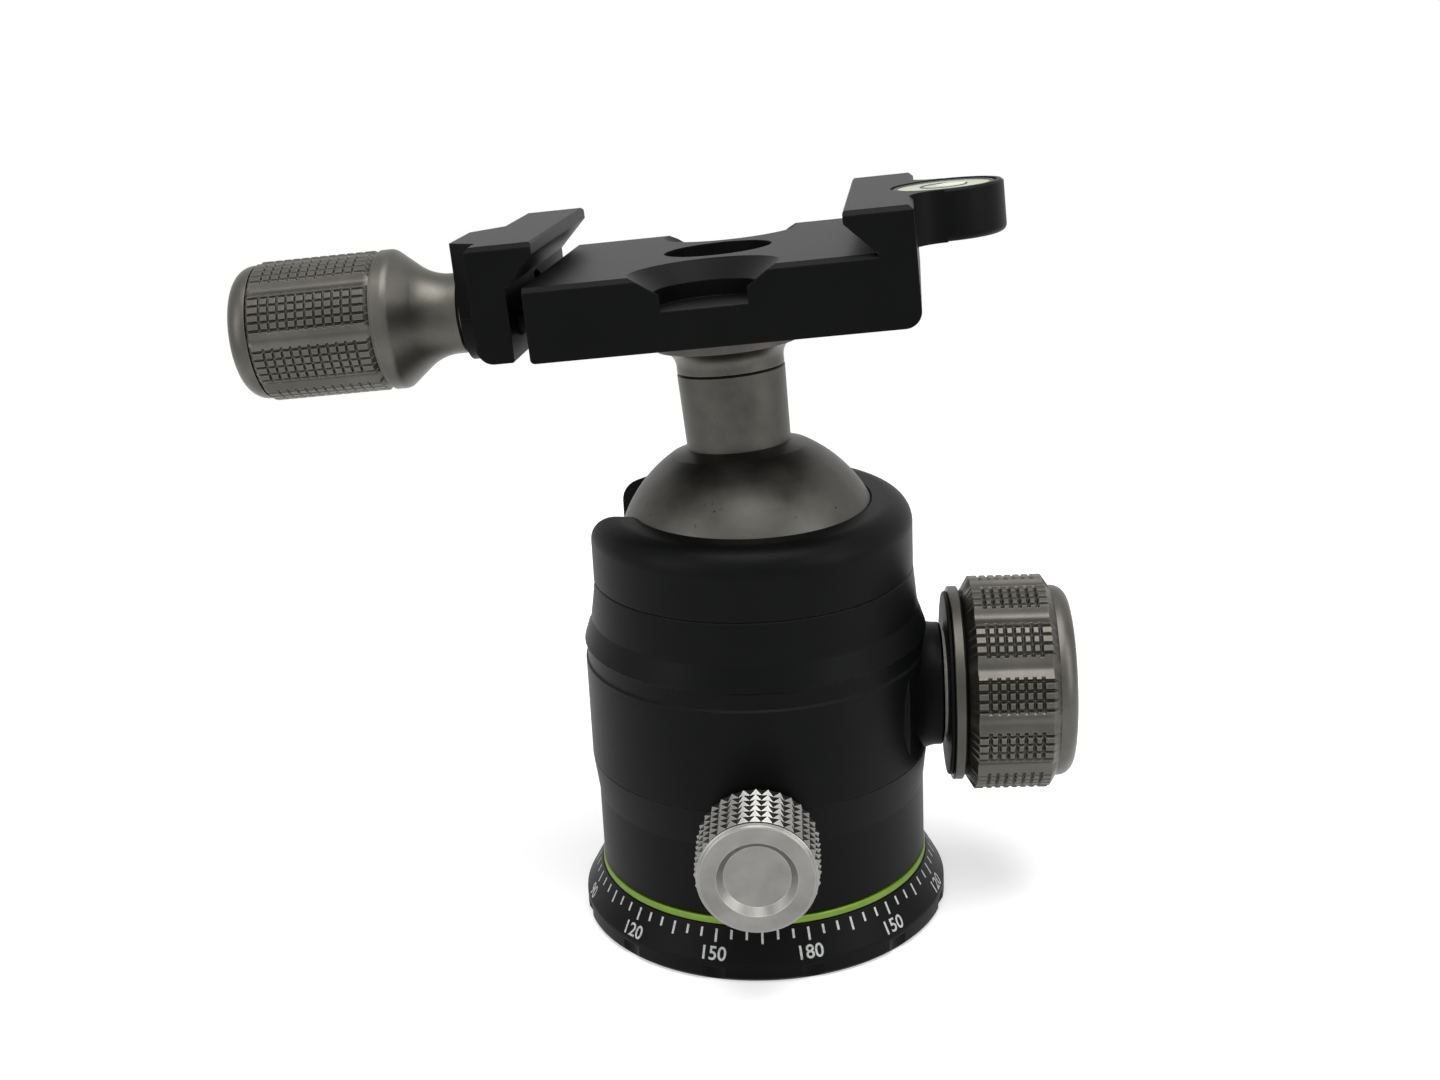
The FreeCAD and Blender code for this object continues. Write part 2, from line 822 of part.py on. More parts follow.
def end_chamfers(shape, half_depth, top, left, right):
    """Breaks the two long top edges of a block that spans the full depth."""
    for side in (-1, 1):
        edge = Part.makePolygon([
            V(left, side * (half_depth + fine_chamfer), top - edge_chamfer),
            V(left, side * (half_depth + fine_chamfer), top + fine_chamfer),
            V(left, side * (half_depth - edge_chamfer), top + fine_chamfer),
            V(left, side * (half_depth - edge_chamfer), top),
            V(left, side * half_depth, top - edge_chamfer),
            V(left, side * (half_depth + fine_chamfer), top - edge_chamfer),
        ])
        shape = shape.cut(Part.Face(edge).extrude(V(right - left, 0, 0)))
    return shape


def end_pockets():
    """The two countersunk half pockets in the deck's front and back edges."""
    cone = turned([
        (0, clamp_deck_rise - pocket_depth),
        (pocket_low_radius, clamp_deck_rise - pocket_depth),
        (pocket_low_radius, clamp_deck_rise - pocket_cone_depth),
        (pocket_top_radius, clamp_deck_rise),
        (pocket_top_radius, clamp_jaw_rise),
        (0, clamp_jaw_rise),
    ])
    cutters = []
    for side in (-1, 1):
        cutter = cone.copy()
        cutter.translate(V(0, side * pocket_centre_depth, 0))
        cutters.append(cutter)
    return Part.makeCompound(cutters)


def level_tab():
    """Ear beside the fixed jaw that carries the bubble level."""
    ear = turned([
        (0, tab_floor_rise),
        (tab_radius, tab_floor_rise, tab_edge_round),
        (tab_radius, clamp_jaw_rise - fine_chamfer),
        (tab_radius - fine_chamfer, clamp_jaw_rise),
        (0, clamp_jaw_rise),
    ])
    ear.translate(V(tab_centre_reach, 0, 0))
    root = fixed_jaw_reach - edge_chamfer
    spread = tab_root_half_width - tab_radius
    run = tab_centre_reach - root
    web = Part.makePolygon([
        V(root, -tab_root_half_width, tab_floor_rise),
        V(root + run, -tab_radius, tab_floor_rise),
        V(root + run, tab_radius, tab_floor_rise),
        V(root, tab_root_half_width, tab_floor_rise),
        V(root, -tab_root_half_width, tab_floor_rise),
    ])
    web = Part.Face(web).extrude(V(0, 0, clamp_jaw_rise - tab_floor_rise))
    for side in (-1, 1):
        hollow = Part.makeCylinder(
            (run ** 2 + spread ** 2) / (2 * spread), clamp_jaw_rise,
            V(root + run, side * (tab_radius + (run ** 2 + spread ** 2) / (2 * spread)), 0))
        web = web.cut(hollow)
    return ear.fuse(web)


def pin_positions():
    return [V(0, side * pin_spacing / 2, screw_rise) for side in (-1, 1)]


def rod_to_left(radius, near, far, place=None, chamfer=0.0):
    """Rod along X that runs from near to far on the left side, at the screw's height or a place."""
    rod = toward_minus_x(disc(radius, near, far, chamfer))
    rod.translate(place if place is not None else V(0, 0, screw_rise))
    return rod


def clamp_base():
    block = extruded(deck_outline(), clamp_half_depth)
    block = end_chamfers(block, clamp_half_depth, clamp_deck_rise, -deck_left_reach, groove_reach)
    block = end_chamfers(block, clamp_half_depth, clamp_jaw_rise,
                         groove_reach - jaw_overhang, fixed_jaw_reach)
    block = block.fuse(level_tab()).removeSplitter()
    block = block.cut(end_pockets())
    block = block.cut(disc(deck_bore_radius, deck_bore_floor, clamp_jaw_rise))
    block = block.cut(disc(bolt_shank_radius + running_gap, 0, clamp_jaw_rise))
    vial_bore = disc(vial_radius, clamp_jaw_rise - vial_depth, clamp_jaw_rise)
    vial_bore.translate(V(tab_centre_reach, 0, 0))
    block = block.cut(vial_bore)
    screw_bore_end = screw_tip_reach - jaw_slide_in - slip_gap
    block = block.cut(rod_to_left(screw_radius + running_gap, screw_bore_end, moving_groove_reach))
    pin_bore_end = pin_tip_reach - jaw_slide_in - slip_gap
    for place in pin_positions():
        block = block.cut(rod_to_left(pin_radius + running_gap, pin_bore_end, moving_groove_reach, place))
    return leaned(block)


def clamp_neck():
    """Flared collar between the stem and the deck."""
    foot = stem_top_rise + face_gap
    flange_foot = clamp_floor_rise - neck_flange_thickness
    return leaned(turned([
        (bolt_shank_radius + running_gap, foot),
        (stem_top_radius - running_gap, foot),
        (stem_top_radius - running_gap, flange_foot, neck_round),
        (neck_top_radius, flange_foot),
        (neck_top_radius, clamp_floor_rise),
        (bolt_shank_radius + running_gap, clamp_floor_rise),
    ]))


def clamp_bolt():
    seat = deck_bore_floor
    head = disc(bolt_head_radius, seat, seat + bolt_head_height, fine_chamfer)
    shank = disc(bolt_shank_radius, stem_top_rise - bolt_reach_down, seat, fine_chamfer)
    top = seat + bolt_head_height
    recess = hex_socket(bolt_socket_radius, top - bolt_socket_depth, top)
    return leaned(head.fuse(shank).removeSplitter().cut(recess))


def guide_pins():
    pins = []
    for place in pin_positions():
        pins.append(leaned(rod_to_left(pin_radius, pin_tip_reach, pin_tail_reach, place, fine_chamfer)))
    return Part.makeCompound(pins)


def vial_part(points):
    part = turned(points)
    part.translate(V(tab_centre_reach, 0, 0))
    return leaned(part)


def vial_cup():
    foot = clamp_jaw_rise - vial_depth
    top = clamp_jaw_rise - fine_chamfer
    return vial_part([
        (0, foot),
        (vial_radius, foot),
        (vial_radius, top),
        (vial_radius - vial_wall, top),
        (vial_radius - vial_wall, foot + vial_floor),
        (0, foot + vial_floor),
    ])


def vial_liquid():
    foot = clamp_jaw_rise - vial_depth + vial_floor
    return vial_part([
        (0, foot),
        (vial_radius - vial_wall, foot),
        (vial_radius - vial_wall, clamp_jaw_rise - fine_chamfer - vial_lens_thickness),
        (0, clamp_jaw_rise - fine_chamfer - vial_lens_thickness),
    ])


def vial_lens():
    top = clamp_jaw_rise - fine_chamfer
    return vial_part([
        (0, top - vial_lens_thickness),
        (vial_radius - vial_wall, top - vial_lens_thickness),
        (vial_radius - vial_wall, top),
        (0, top),
    ])


# Moving jaw

def jaw_outline():
    """Side view of the moving jaw; its hooked face mirrors the fixed jaw's."""
    lip_reach = moving_groove_reach - jaw_overhang
    return [
        (-moving_groove_reach, jaw_foot_rise, fine_chamfer),
        (-moving_groove_reach, clamp_deck_rise),
        (-lip_reach, clamp_deck_rise + jaw_overhang),
        (-lip_reach, clamp_jaw_rise - fine_chamfer),
        (-lip_reach - fine_chamfer, clamp_jaw_rise),
        (-jaw_outer_reach + edge_chamfer, clamp_jaw_rise),
        (-jaw_outer_reach, clamp_jaw_rise - edge_chamfer),
        (-jaw_outer_reach, jaw_foot_rise, jaw_corner_round),
    ]


def jaw_boss():
    """Thicker middle of the moving jaw, round below, which the clamp screw passes through."""
    root = -jaw_outer_reach + edge_chamfer
    plan = Part.makePolygon([
        V(root, -jaw_boss_root_half_width, 0),
        V(root, jaw_boss_root_half_width, 0),
        V(-jaw_boss_reach, jaw_boss_half_width, 0),
        V(-jaw_boss_reach, -jaw_boss_half_width, 0),
        V(root, -jaw_boss_root_half_width, 0),
    ])
    block = Part.Face(plan).extrude(V(0, 0, clamp_jaw_rise))
    foot = jaw_outer_reach - edge_chamfer
    lower = rod_to_left(jaw_boss_half_width, foot, jaw_boss_reach)
    upper = box((-jaw_boss_reach, -jaw_boss_root_half_width, screw_rise),
                (root, jaw_boss_root_half_width, clamp_jaw_rise - edge_chamfer))
    return block.common(upper.fuse(lower))


def moving_jaw():
    body = extruded(jaw_outline(), jaw_half_depth)
    body = end_chamfers(body, jaw_half_depth, clamp_jaw_rise, -jaw_outer_reach,
                        -moving_groove_reach + jaw_overhang)
    body = body.fuse(jaw_boss()).removeSplitter()
    body = body.cut(rod_to_left(screw_radius + slip_gap, 0, jaw_boss_reach))
    clip_pocket = rod_to_left(clip_radius + slip_gap, 0, moving_groove_reach + clip_pocket_depth)
    body = body.cut(clip_pocket)
    for place in pin_positions():
        body = body.cut(rod_to_left(pin_radius, 0, pin_tail_reach, place))
    return leaned(body)


# Clamp screw and knob

def clamp_screw():
    return leaned(rod_to_left(screw_radius, screw_tip_reach, clamp_cap_start, None, fine_chamfer))


def jaw_clip():
    """Retaining ring on the screw that pulls the jaw outwards when the knob is undone."""
    inner_face = moving_groove_reach + clip_pocket_depth - face_gap - clip_thickness
    clip = ring(clip_radius, screw_radius, inner_face, inner_face + clip_thickness)
    clip = toward_minus_x(clip)
    clip.translate(V(0, 0, screw_rise))
    return leaned(clip)


def on_clamp_axis(shape):
    part = toward_minus_x(shape)
    part.translate(V(0, 0, screw_rise))
    return leaned(part)


def clamp_washer():
    return on_clamp_axis(ring(screw_radius + clamp_washer_width, screw_radius + running_gap, jaw_boss_reach,
                              jaw_boss_reach + clamp_washer_thickness))


def clamp_knob_neck():
    """Slim neck that flares to the flange ring, with the groove and core behind the grip."""
    flare_start = knob_neck_start + neck_length
    groove_radius = clamp_knob_radius - clamp_groove_depth
    points = [
        (screw_radius, knob_neck_start),
        (neck_radius - fine_chamfer, knob_neck_start),
        (neck_radius, knob_neck_start + fine_chamfer),
        (neck_radius, flare_start, flare_round),
        (clamp_knob_radius, flange_ring_start, flare_crest_round),
        (clamp_knob_radius, clamp_groove_start),
        (groove_radius, clamp_groove_start),
        (groove_radius, clamp_grip_start),
        (clamp_core_radius, clamp_grip_start),
        (clamp_core_radius, clamp_cap_start),
        (screw_radius, clamp_cap_start),
    ]
    return on_clamp_axis(turned(points))


def clamp_knob_grip():
    return on_clamp_axis(lobed_grip(clamp_knob_radius, clamp_grip_start, clamp_grip_length, clamp_core_radius,
                                    (clamp_bevel, clamp_bevel), clamp_valley_depth, clamp_valley_round,
                                    clamp_valley_count))


def clamp_knob_cap():
    cap_radius = clamp_knob_radius - clamp_cap_drop
    return on_clamp_axis(turned([
        (0, clamp_cap_start),
        (cap_radius, clamp_cap_start),
        (cap_radius, clamp_end, clamp_cap_round),
        (0, clamp_end),
    ]))


PARTS = {
    "base_flange": base_flange,
    "accent_ring": accent_ring,
    "pan_drum": pan_drum,
    "drum_screws": drum_screws,
    "pan_washer": pan_washer,
    "housing_body": housing_body,
    "upper_collar": upper_collar,
    "upper_seat_ring": upper_seat_ring,
    "spindle_bushing": spindle_bushing,
    "thrust_washer": thrust_washer,
    "seat_liner": seat_liner,
    "lower_cup": lower_cup,
    "cup_spring": cup_spring,
    "wedge_plunger": wedge_plunger,
    "main_spindle": main_spindle,
    "main_knob_disc": main_knob_disc,
    "main_knob_trim": main_knob_trim,
    "main_knob_core": main_knob_core,
    "main_knob_grip": main_knob_grip,
    "main_knob_cap": main_knob_cap,
    "pan_brake_shoe": pan_brake_shoe,
    "pan_lock_screw": pan_lock_screw,
    "pan_lock_knob": pan_lock_knob,
    "ball_stem": ball_stem,
    "clamp_base": clamp_base,
    "clamp_neck": clamp_neck,
    "clamp_bolt": clamp_bolt,
    "guide_pins": guide_pins,
    "vial_cup": vial_cup,
    "vial_liquid": vial_liquid,
    "vial_lens": vial_lens,
    "moving_jaw": moving_jaw,
    "clamp_screw": clamp_screw,
    "jaw_clip": jaw_clip,
    "clamp_washer": clamp_washer,
    "clamp_knob_neck": clamp_knob_neck,
    "clamp_knob_grip": clamp_knob_grip,
    "clamp_knob_cap": clamp_knob_cap,
}

os.makedirs("parts", exist_ok=True)
for node_name, make in PARTS.items():
    node_shape = make()
    if not node_shape.isValid():
        raise ValueError(node_name + " is not a valid solid")
    node_shape.exportStep("parts/" + node_name + ".step")
    print(node_name, len(node_shape.Solids), round(node_shape.Volume, 3))
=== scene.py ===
import json
import math

import bmesh
import bpy
from mathutils import Matrix, Vector

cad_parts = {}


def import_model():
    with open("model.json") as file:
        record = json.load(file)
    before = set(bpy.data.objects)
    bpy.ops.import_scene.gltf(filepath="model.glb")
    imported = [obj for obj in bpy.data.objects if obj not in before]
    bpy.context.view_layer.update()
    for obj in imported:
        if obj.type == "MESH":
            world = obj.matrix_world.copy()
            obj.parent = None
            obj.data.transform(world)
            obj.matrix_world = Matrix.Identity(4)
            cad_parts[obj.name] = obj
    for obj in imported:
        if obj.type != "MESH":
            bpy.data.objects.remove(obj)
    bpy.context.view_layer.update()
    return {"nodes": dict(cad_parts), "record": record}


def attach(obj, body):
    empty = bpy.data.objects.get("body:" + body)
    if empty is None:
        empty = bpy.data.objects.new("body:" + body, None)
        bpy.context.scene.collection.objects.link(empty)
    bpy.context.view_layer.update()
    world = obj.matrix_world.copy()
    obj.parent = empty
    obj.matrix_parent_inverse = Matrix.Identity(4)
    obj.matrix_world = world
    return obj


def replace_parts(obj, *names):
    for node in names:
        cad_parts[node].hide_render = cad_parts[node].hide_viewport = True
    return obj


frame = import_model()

MM = 0.001
TAU = 2 * math.pi

# Sizes that the pieces share with the solids, in millimetres
BALL_HEIGHT = 43.15
MAIN_AXIS = 27.0
PAN_AXIS = 17.2
SCREW_RISE = 32.3
JAW_RISE = 41.3
TAB_REACH = 25.65

# How the head rests about the ball's centre, in degrees
LEAN_BACK = -4.0
LEAN_LEFT = -3.9
LEAN_TURN = -3.3

# Places of the three knob axes and of the head, in millimetres
LEAN = (Matrix.Translation((0, 0, BALL_HEIGHT))
        @ Matrix.Rotation(math.radians(LEAN_BACK), 4, "X")
        @ Matrix.Rotation(math.radians(LEAN_LEFT), 4, "Y")
        @ Matrix.Rotation(math.radians(LEAN_TURN), 4, "Z"))
TO_MAIN_KNOB = Matrix.Translation((0, 0, MAIN_AXIS)) @ Matrix.Rotation(math.radians(90), 4, "Y")
TO_PAN_KNOB = Matrix.Translation((0, 0, PAN_AXIS)) @ Matrix.Rotation(math.radians(90), 4, "X")
TO_CLAMP_KNOB = (LEAN @ Matrix.Translation((0, 0, SCREW_RISE))
                 @ Matrix.Rotation(math.radians(-90), 4, "Y"))

# Linear colours: the darker and the lighter tone of each finish, its marked places, and the painted
# highlights along edges
BLACK_TONES = (0.0016, 0.0018, 0.0018), (0.0026, 0.0028, 0.0028)
BLACK_EDGE_HIGHLIGHT = (0.022, 0.022, 0.021)
GREY_TONES = (0.078, 0.074, 0.066), (0.108, 0.103, 0.092)
TRIM_TONES = (0.064, 0.061, 0.054), (0.088, 0.084, 0.075)
BALL_TONES = (0.058, 0.056, 0.050), (0.082, 0.079, 0.071)
BALL_SCUFF = (0.105, 0.101, 0.091)
BALL_SPECK = (0.016, 0.015, 0.013)
SILVER_TONES = (0.155, 0.153, 0.145), (0.215, 0.212, 0.200)
SILVER_EDGE_HIGHLIGHT = (0.42, 0.41, 0.39)
GREEN_TONES = (0.115, 0.205, 0.014), (0.155, 0.265, 0.022)
INK_TONES = (0.27, 0.28, 0.27), (0.46, 0.47, 0.455)
LENS_TINT = (0.93, 0.97, 0.90, 1.0)
FLOOR_WHITE = (0.82, 0.82, 0.82, 1.0)
PURE_WHITE = (1, 1, 1, 1)

# How far a normal turns (1 less its cosine) where an edge gets the full painted highlight
EDGE_TURN = 0.12
# Points closer than this are one point, in metres
SAME_POINT = 1e-7


# Materials

class Nodes:
    """Adds and links the nodes of one material; texture scales are per metre."""

    def __init__(self, name):
        self.material = bpy.data.materials.new(name)
        self.material.use_nodes = True
        self.tree = self.material.node_tree
        self.shader = self.tree.nodes["Principled BSDF"]
        self.place = self.add("ShaderNodeTexCoord").outputs["Object"]

    def add(self, kind, **values):
        node = self.tree.nodes.new(kind)
        for key, value in values.items():
            if hasattr(node, key):
                setattr(node, key, value)
            else:
                node.inputs[key.replace("_", " ")].default_value = value
        return node

    def link(self, output, target):
        self.tree.links.new(output, target)

    def noise(self, scale, detail=3.0, stretch=None):
        node = self.add("ShaderNodeTexNoise", Scale=scale, Detail=detail)
        source = self.place
        if stretch:
            mapping = self.add("ShaderNodeMapping")
            mapping.inputs["Scale"].default_value = stretch
            self.link(source, mapping.inputs["Vector"])
            source = mapping.outputs["Vector"]
        self.link(source, node.inputs["Vector"])
        return node.outputs["Fac"]

    def ramp(self, value, low, high, out_low=0.0, out_high=1.0):
        node = self.add("ShaderNodeMapRange")
        node.inputs["From Min"].default_value = low
        node.inputs["From Max"].default_value = high
        node.inputs["To Min"].default_value = out_low
        node.inputs["To Max"].default_value = out_high
        self.link(value, node.inputs["Value"])
        return node.outputs["Result"]

    def mix(self, factor, first, second):
        node = self.add("ShaderNodeMix", data_type="RGBA")
        self.link(factor, node.inputs["Factor"])
        for value, slot in ((first, 6), (second, 7)):
            if isinstance(value, tuple):
                node.inputs[slot].default_value = (*value, 1.0)
            else:
                self.link(value, node.inputs[slot])
        return node.outputs[2]

    def multiply(self, first, second):
        node = self.add("ShaderNodeMath", operation="MULTIPLY")
        self.link(first, node.inputs[0])
        self.link(second, node.inputs[1])
        return node.outputs[0]

    def clouded(self, value, tones, low=0.3, high=0.7):
        """Blends the two tones of a finish by a noise value."""
        return self.mix(self.ramp(value, low, high), *tones)

    def roughness(self, grain, low, high):
        return self.ramp(grain, 0.2, 0.8, low, high)

    def edges(self, radius):
        """Near 1 along sharp edges, where the rounded normal turns away, and 0 elsewhere."""
        bevel = self.add("ShaderNodeBevel", samples=4)
        bevel.inputs["Radius"].default_value = radius
        geometry = self.add("ShaderNodeNewGeometry")
        dot = self.add("ShaderNodeVectorMath", operation="DOT_PRODUCT")
        self.link(bevel.outputs["Normal"], dot.inputs[0])
        self.link(geometry.outputs["Normal"], dot.inputs[1])
        return self.ramp(dot.outputs["Value"], 1.0, 1.0 - EDGE_TURN)

    def bump(self, *layers, bevel=None):
        """Chains bump layers, each a height with its strength and depth in metres."""
        normal = None
        if bevel:
            node = self.add("ShaderNodeBevel", samples=4)
            node.inputs["Radius"].default_value = bevel
            normal = node.outputs["Normal"]
        for height, strength, depth in layers:
            node = self.add("ShaderNodeBump")
            node.inputs["Strength"].default_value = strength
            node.inputs["Distance"].default_value = depth
            self.link(height, node.inputs["Height"])
            if normal:
                self.link(normal, node.inputs["Normal"])
            normal = node.outputs["Normal"]
        self.link(normal, self.shader.inputs["Normal"])

    def settle(self, **values):
        for key, value in values.items():
            target = self.shader.inputs[key.replace("_", " ")]
            if hasattr(value, "is_output"):
                self.link(value, target)
            else:
                target.default_value = value
        return self.material


def anodised_black(name="black_anodised", level=1.0, roughness=0.42):
    """Bead blasted and black anodised, with a slight grain and a painted highlight along the edges.
    """
    n = Nodes(name)
    grain = n.noise(9000.0, 2.0)
    cloud = n.noise(160.0, 4.0)
    base = n.clouded(cloud, [tuple(level * c for c in tone) for tone in BLACK_TONES])
    # Painted highlight: sharp edges are lightened towards a paler colour, in patches set by noise,
    # to stand in for light caught on the chamfers.
    edge_highlight = n.multiply(n.edges(0.00028), n.ramp(n.noise(900.0, 3.0), 0.32, 0.72))
    base = n.mix(n.ramp(edge_highlight, 0.0, 1.0, 0.0, 0.5), base, BLACK_EDGE_HIGHLIGHT)
    n.bump((grain, 0.28, 0.00002), bevel=0.00018)
    return n.settle(Base_Color=base, Metallic=0.0, Specular_IOR_Level=0.07,
                    Roughness=n.roughness(grain, roughness - 0.05, roughness + 0.07))


def blasted_metal(name, tones, roughness):
    """Anodised aluminium with a blasted grain, soft clouding and painted highlights along the edges.
    """
    dark, light = tones
    pit = tuple(c * 0.72 for c in dark)
    bright = tuple(c * 1.7 for c in light)
    n = Nodes(name)
    grain = n.noise(7000.0, 3.0)
    base = n.clouded(n.noise(220.0, 4.0), tones)
    base = n.mix(n.ramp(grain, 0.25, 0.75, 0.0, 0.35), base, pit)
    # Painted highlight: sharp edges are lightened towards a brighter copy of the light tone.
    base = n.mix(n.ramp(n.edges(0.0002), 0.0, 1.0, 0.0, 0.5), base, bright)
    n.bump((grain, 0.35, 0.00002), bevel=0.0001)
    return n.settle(Base_Color=base, Metallic=1.0,
                    Roughness=n.roughness(grain, roughness - 0.06, roughness + 0.08))


def ball_metal():
    """Coarser blasted ball, rubbed by its seat, with dark specks and soft scuffs."""
    n = Nodes("blasted_grey")
    grain = n.noise(5200.0, 4.0)
    cloud = n.noise(260.0, 5.0)
    base = n.clouded(cloud, BALL_TONES, 0.32, 0.68)
    scuff = n.noise(420.0, 3.0)
    base = n.mix(n.ramp(scuff, 0.42, 0.72, 0.0, 0.25), base, BALL_SCUFF)
    specks = n.ramp(n.noise(1500.0, 2.0), 0.70, 0.76)
    patch = n.ramp(n.noise(110.0, 3.0), 0.46, 0.62)
    base = n.mix(n.multiply(specks, patch), base, BALL_SPECK)
    n.bump((grain, 0.4, 0.000025), (scuff, 0.08, 0.00002))
    return n.settle(Base_Color=base, Metallic=1.0,
                    Roughness=n.ramp(cloud, 0.3, 0.7, 0.40, 0.50))


def turned_silver():
    """Bright turned metal with a fine grain and painted highlights along the edges."""
    n = Nodes("bright_silver")
    grain = n.noise(6000.0, 2.0)
    base = n.clouded(n.noise(300.0, 4.0), SILVER_TONES)
    # Painted highlight: sharp edges are lightened towards a pale silver.
    base = n.mix(n.ramp(n.edges(0.0002), 0.0, 1.0, 0.0, 0.6), base, SILVER_EDGE_HIGHLIGHT)
    n.bump((grain, 0.2, 0.000012))
    return n.settle(Base_Color=base, Metallic=1.0, Roughness=n.roughness(grain, 0.30, 0.42))


def anodised_green():
    """Yellow green of the accent ring, partly metallic."""
    n = Nodes("green_anodised")
    grain = n.noise(8000.0, 2.0)
    base = n.clouded(n.noise(400.0, 3.0), GREEN_TONES)
    n.bump((grain, 0.25, 0.000015))
    return n.settle(Base_Color=base, Metallic=0.35, Roughness=n.roughness(grain, 0.38, 0.5))


def scale_ink():
    """White ink, a little uneven and rough at the grain of the metal."""
    n = Nodes("scale_ink")
    base = n.clouded(n.noise(3500.0, 4.0), INK_TONES, 0.30, 0.55)
    n.bump((n.noise(9000.0, 2.0), 0.3, 0.00001))
    return n.settle(Base_Color=base, Roughness=0.6)


def machined(name, color, roughness, metallic=1.0):
    """Plain machined or moulded finish of the pieces inside."""
    n = Nodes(name)
    grain = n.noise(2600.0, 3.0)
    turning = n.noise(1200.0, 2.0, (0.2, 0.2, 5.0))
    base = n.clouded(turning, (tuple(c * 0.85 for c in color), color))
    n.bump((grain, 0.2, 0.00002), (turning, 0.15, 0.00002))
    return n.settle(Base_Color=base, Metallic=metallic,
                    Roughness=n.roughness(grain, roughness - 0.06, roughness + 0.08))


def vial_paint(name, color, roughness):
    """Slightly uneven paint or plastic of the bubble level."""
    n = Nodes(name)
    base = n.clouded(n.noise(500.0, 3.0), (tuple(c * 0.88 for c in color), color))
    n.bump((n.noise(5000.0, 2.0), 0.15, 0.00001))
    return n.settle(Base_Color=base, Roughness=roughness)


def vial_glass():
    """Clear lens with faint scuffs."""
    n = Nodes("vial_lens")
    scuff = n.ramp(n.noise(1800.0, 4.0), 0.45, 0.75, 0.04, 0.22)
    n.bump((n.noise(3000.0, 2.0), 0.05, 0.00001))
    return n.settle(Base_Color=LENS_TINT, Roughness=scuff,
                    Transmission_Weight=1.0, IOR=1.45)


black = anodised_black()
black_knob = anodised_black("black_knob_parts", 0.8, 0.5)
grey = blasted_metal("titanium_grey", GREY_TONES, 0.40)
trim = blasted_metal("trim_grey", TRIM_TONES, 0.40)
ball_finish = ball_metal()
silver = turned_silver()
green = anodised_green()
ink = scale_ink()
MATERIALS = {
    "black_anodised": black,
    "green_anodised": green,
    "titanium_grey": grey,
    "blasted_grey": ball_finish,
    "bright_silver": silver,
    "plain_aluminium": machined("plain_aluminium", (0.62, 0.62, 0.63), 0.38),
    "steel": machined("steel", (0.42, 0.42, 0.43), 0.34),
    "dark_steel": machined("dark_steel", (0.012, 0.012, 0.012), 0.42),
    "bronze": machined("bronze", (0.52, 0.36, 0.16), 0.36),
    "bearing_plastic": machined("bearing_plastic", (0.62, 0.61, 0.56), 0.5, 0.0),
    "vial_body": vial_paint("vial_body", (0.050, 0.052, 0.045), 0.4),
    "vial_liquid": vial_paint("vial_liquid", (0.66, 0.72, 0.50), 0.25),
    "vial_lens": vial_glass(),
}
for entry in frame["record"]["subparts"]:
    mesh = frame["nodes"][entry["node"]].data
    mesh.materials.clear()
    mesh.materials.append(MATERIALS[entry["material_slot"]])
for node in ("main_knob_disc", "main_knob_core"):
    frame["nodes"][node].data.materials[0] = black_knob
frame["nodes"]["main_knob_trim"].data.materials[0] = trim


# Mesh helpers

def new_object(name, data):
    holder = bpy.data.objects.new(name, data)
    bpy.context.scene.collection.objects.link(holder)
    return holder


def shade(mesh, angle):
    """Smooth shading, sharp where faces meet at more than the angle in degrees."""
    for polygon in mesh.polygons:
        polygon.use_smooth = True
    mesh.set_sharp_from_angle(angle=math.radians(angle))


def add_piece(name, points, faces, matrix, material, sharp, body, merge=True):
    """Makes an object from points in millimetres, placed by a matrix also in millimetres."""
    mesh = bpy.data.meshes.new(name)
    placed = [(matrix @ Vector(p)) * MM for p in points]
    mesh.from_pydata(placed, [], faces)
    if merge:
        tool = bmesh.new()
        tool.from_mesh(mesh)
        bmesh.ops.remove_doubles(tool, verts=tool.verts, dist=SAME_POINT)
        bmesh.ops.recalc_face_normals(tool, faces=tool.faces)
        tool.to_mesh(mesh)
        tool.free()
    mesh.materials.append(material)
    shade(mesh, sharp)
    piece = new_object(name, mesh)
    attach(piece, body)
    return piece


def full_turn(count):
    return [TAU * k / count for k in range(count)]


def lathe(profile, angles, radius_at=None):
    """Points and triangles of a closed profile of (radius, height, carved) stations swept round Z.

    radius_at(angle, height, radius) gives the carved radius where a station is marked. Each
    quad is split along the diagonal whose ends differ more in radius."""
    points = []
    for radius, height, carved in profile:
        for angle in angles:
            r = radius_at(angle, height, radius) if carved else radius
            points.append((r * math.cos(angle), r * math.sin(angle), height))
    count = len(angles)
    rows = len(profile)
    faces = []
    for i in range(rows):
        for j in range(count):
            a = i * count + j
            b = i * count + (j + 1) % count
            c = ((i + 1) % rows) * count + (j + 1) % count
            d = ((i + 1) % rows) * count + j
            ra, rb, rc, rd = (math.hypot(*points[k][:2]) for k in (a, b, c, d))
            if abs(ra - rc) >= abs(rb - rd):
                faces += [(a, b, c), (a, c, d)]
            else:
                faces += [(a, b, d), (b, c, d)]
    return points, faces


def groove(position, pitch, width):
    """0 on the flat pads and 1 at the middle of each V groove; grooves lie at whole pitches."""
    offset = abs((position / pitch + 0.5) % 1.0 - 0.5) * pitch
    return max(0.0, 1.0 - offset / (width / 2))


def stations(start, pitch, count, width):
    """Where a row of pads needs a line of points: both edges and the middle of each groove."""
    places = []
    for i in range(count + 1):
        middle = start + i * pitch
        places += [middle - width / 2, middle, middle + width / 2]
    return places


# Banded grips of the main lock knob and the clamp knob

# Plain land between a bevel and the rows of pads, and the least step between stations
GRIP_LAND = 0.25
STATION_GAP = 0.05
VALLEY_STEPS = 10
VALLEY_POWER = 1.2


